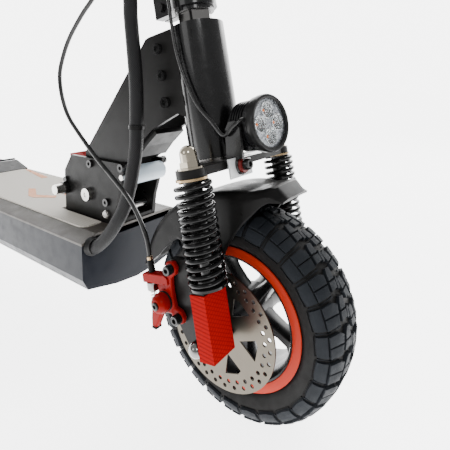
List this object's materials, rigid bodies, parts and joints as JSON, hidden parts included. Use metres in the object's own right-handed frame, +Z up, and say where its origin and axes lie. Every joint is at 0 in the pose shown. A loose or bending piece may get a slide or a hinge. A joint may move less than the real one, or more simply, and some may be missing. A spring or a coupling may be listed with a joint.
{
  "type": "electric kick scooter",
  "caption": "Folding electric kick scooter with a sprung twin-strut front fork, disc brake, headlight, standing deck, hub motor rear wheel and tall stem with handlebar.",
  "frame": {"origin": "on the ground, in the middle of the box around the scooter", "axes": "+X forwards, +Y to the rider's left, +Z up"},
  "size_m": [1.1441, 0.6, 1.1485],
  "materials": {
    "black_frame": "satin",
    "gloss_black": "gloss",
    "deck_alloy": "satin",
    "deck_edge": "satin",
    "mat": "matte",
    "black_plastic": "satin",
    "steel": "satin",
    "chrome": "polished",
    "black_steel": "satin",
    "black_alloy": "satin",
    "roller_white": "satin",
    "cable_black": "satin",
    "red_paint": "gloss",
    "red_plastic": "gloss",
    "reflector_red": "gloss",
    "lens": "gloss",
    "reflector_chrome": "polished",
    "tyre": "matte",
    "rim_red": "gloss",
    "disc": "satin",
    "grip_rubber": "matte",
    "battery_wrap": "satin",
    "alloy": "satin",
    "glass_dark": "gloss"
  },
  "bodies": {
    "deck": {"deck_tray": "deck_alloy", "deck_top_plate": "deck_edge", "deck_mat": "mat", "rear_footrest": "black_plastic", "battery_pack": "battery_wrap", "motor_controller": "alloy", "charge_socket": "black_plastic", "base_bracket": "black_frame", "base_bolts": "steel", "hinge_shafts": "steel", "bumper_roller": "roller_white", "cable_sleeve": "cable_black"},
    "lock_pin": {"lock_pin": "steel"},
    "release_lever": {"release_lever": "red_paint"},
    "kickstand": {"kickstand": "black_steel"},
    "arm": {"head_tube": "gloss_black", "arm_plates": "black_frame", "arm_bolts": "black_steel", "headset_bearings": "steel"},
    "fork": {"steerer_tube": "steel", "headset_nut": "chrome", "fork_crown": "black_frame", "crown_nuts": "chrome", "shock_rods": "black_steel", "front_springs": "black_steel", "headlight_bracket": "black_steel", "crown_stop_bolt": "steel", "stem_tube": "gloss_black", "stem_clamp": "gloss_black", "stem_clamp_bolts": "black_steel", "handlebar": "black_alloy", "grips": "grip_rubber", "display_unit": "glass_dark", "brake_perches": "black_alloy", "front_brake_cable": "cable_black", "lamp_cable": "cable_black"},
    "headlight": {"headlight_body": "black_alloy", "headlight_reflector": "reflector_chrome", "headlight_lens": "lens"},
    "fork_lower": {"fork_leg_right": "black_frame", "fork_leg_left": "black_frame", "leg_reflectors": "reflector_red", "front_fender": "black_plastic", "front_axle": "chrome", "caliper_body": "red_paint", "caliper_bolts": "black_steel"},
    "caliper_arm": {"caliper_arm": "red_paint"},
    "front_wheel": {"front_tyre": "tyre", "front_rim": "rim_red", "front_disc": "disc"},
    "lever_right": {"lever_right": "black_alloy"},
    "lever_left": {"lever_left": "black_alloy"},
    "throttle": {"throttle": "black_plastic"},
    "horn_button": {"horn_button": "red_plastic"},
    "swingarm": {"swingarm": "black_frame", "rear_springs": "red_paint", "rear_fender": "black_plastic", "tail_light": "reflector_red"},
    "rear_wheel": {"rear_tyre": "tyre", "rear_motor": "black_alloy"}
  },
  "joints": [
    {"name": "fold", "type": "hinge", "parent": "deck", "child": "arm", "pos_m": [0.165, 0, 0.232], "axis": [0, -1, 0], "range_deg": [0, 76], "deforming": ["cable_sleeve"]},
    {"name": "steer", "type": "hinge", "parent": "arm", "child": "fork", "pos_m": [0.42491, 0, 0.1249], "axis": [-0.2011, 0, 0.9796], "range_deg": [-55, 55], "deforming": ["front_brake_cable", "lamp_cable"]},
    {"name": "front_suspension", "type": "slide", "parent": "fork", "child": "fork_lower", "axis": [-0.2011, 0, 0.9796], "range_m": [0, 0.015], "stiffness_N_per_m": 15000, "springref_m": -0.016, "deforming": ["front_springs"]},
    {"name": "front_wheel_spin", "type": "hinge", "parent": "fork_lower", "child": "front_wheel", "pos_m": [0.44, 0, 0.128], "axis": [0, 1, 0], "continuous": true},
    {"name": "headlight_tilt", "type": "hinge", "parent": "fork", "child": "headlight", "pos_m": [0.43905, 0, 0.35443], "axis": [0, 1, 0], "range_deg": [-8, 8]},
    {"name": "brake_lever_right", "type": "hinge", "parent": "fork", "child": "lever_right", "pos_m": [0.25616, -0.148, 1.11111], "axis": [0.2011, 0, -0.9796], "range_deg": [0, 14], "stiffness_Nm_per_rad": 1.5, "springref_deg": -17.19},
    {"name": "brake_lever_left", "type": "hinge", "parent": "fork", "child": "lever_left", "pos_m": [0.25616, 0.148, 1.11111], "axis": [-0.2011, 0, 0.9796], "range_deg": [0, 14], "stiffness_Nm_per_rad": 1.5, "springref_deg": -17.19},
    {"name": "caliper_arm_turn", "type": "hinge", "parent": "fork_lower", "child": "caliper_arm", "pos_m": [0.38357, -0.095, 0.15725], "axis": [0, 1, 0], "range_deg": [0, 18]},
    {"name": "throttle_turn", "type": "hinge", "parent": "fork", "child": "throttle", "pos_m": [0.22384, -0.121, 1.10448], "axis": [0, -1, 0], "range_deg": [0, 35], "stiffness_Nm_per_rad": 0.3, "springref_deg": -17.19},
    {"name": "horn_press", "type": "slide", "parent": "fork", "child": "horn_button", "axis": [0.9796, 0, 0.2011], "range_m": [0, 0.003], "stiffness_N_per_m": 400, "springref_m": -0.002},
    {"name": "release_lever_press", "type": "hinge", "parent": "deck", "child": "release_lever", "pos_m": [0.115, 0, 0.262], "axis": [0, -1, 0], "range_deg": [0, 14], "stiffness_Nm_per_rad": 2, "springref_deg": -11.46},
    {"name": "lock_pin_pull", "type": "slide", "parent": "deck", "child": "lock_pin", "axis": [0, -1, 0], "range_m": [0, 0.01], "stiffness_N_per_m": 600, "springref_m": -0.005},
    {"name": "kickstand_swing", "type": "hinge", "parent": "deck", "child": "kickstand", "pos_m": [-0.104, 0.12, 0.12], "axis": [0, 1, 0], "range_deg": [0, 80]},
    {"name": "swingarm_pivot", "type": "hinge", "parent": "deck", "child": "swingarm", "pos_m": [-0.288, 0, 0.128], "axis": [0, 1, 0], "range_deg": [0, 6], "stiffness_Nm_per_rad": 400, "springref_deg": -6.88, "deforming": ["rear_springs"]},
    {"name": "rear_wheel_spin", "type": "hinge", "parent": "swingarm", "child": "rear_wheel", "pos_m": [-0.44, 0, 0.128], "axis": [0, 1, 0], "continuous": true}
  ],
  "couplings": [
    {"joint": "caliper_arm_turn", "follows": "brake_lever_right", "ratio": 1.25}
  ]
}
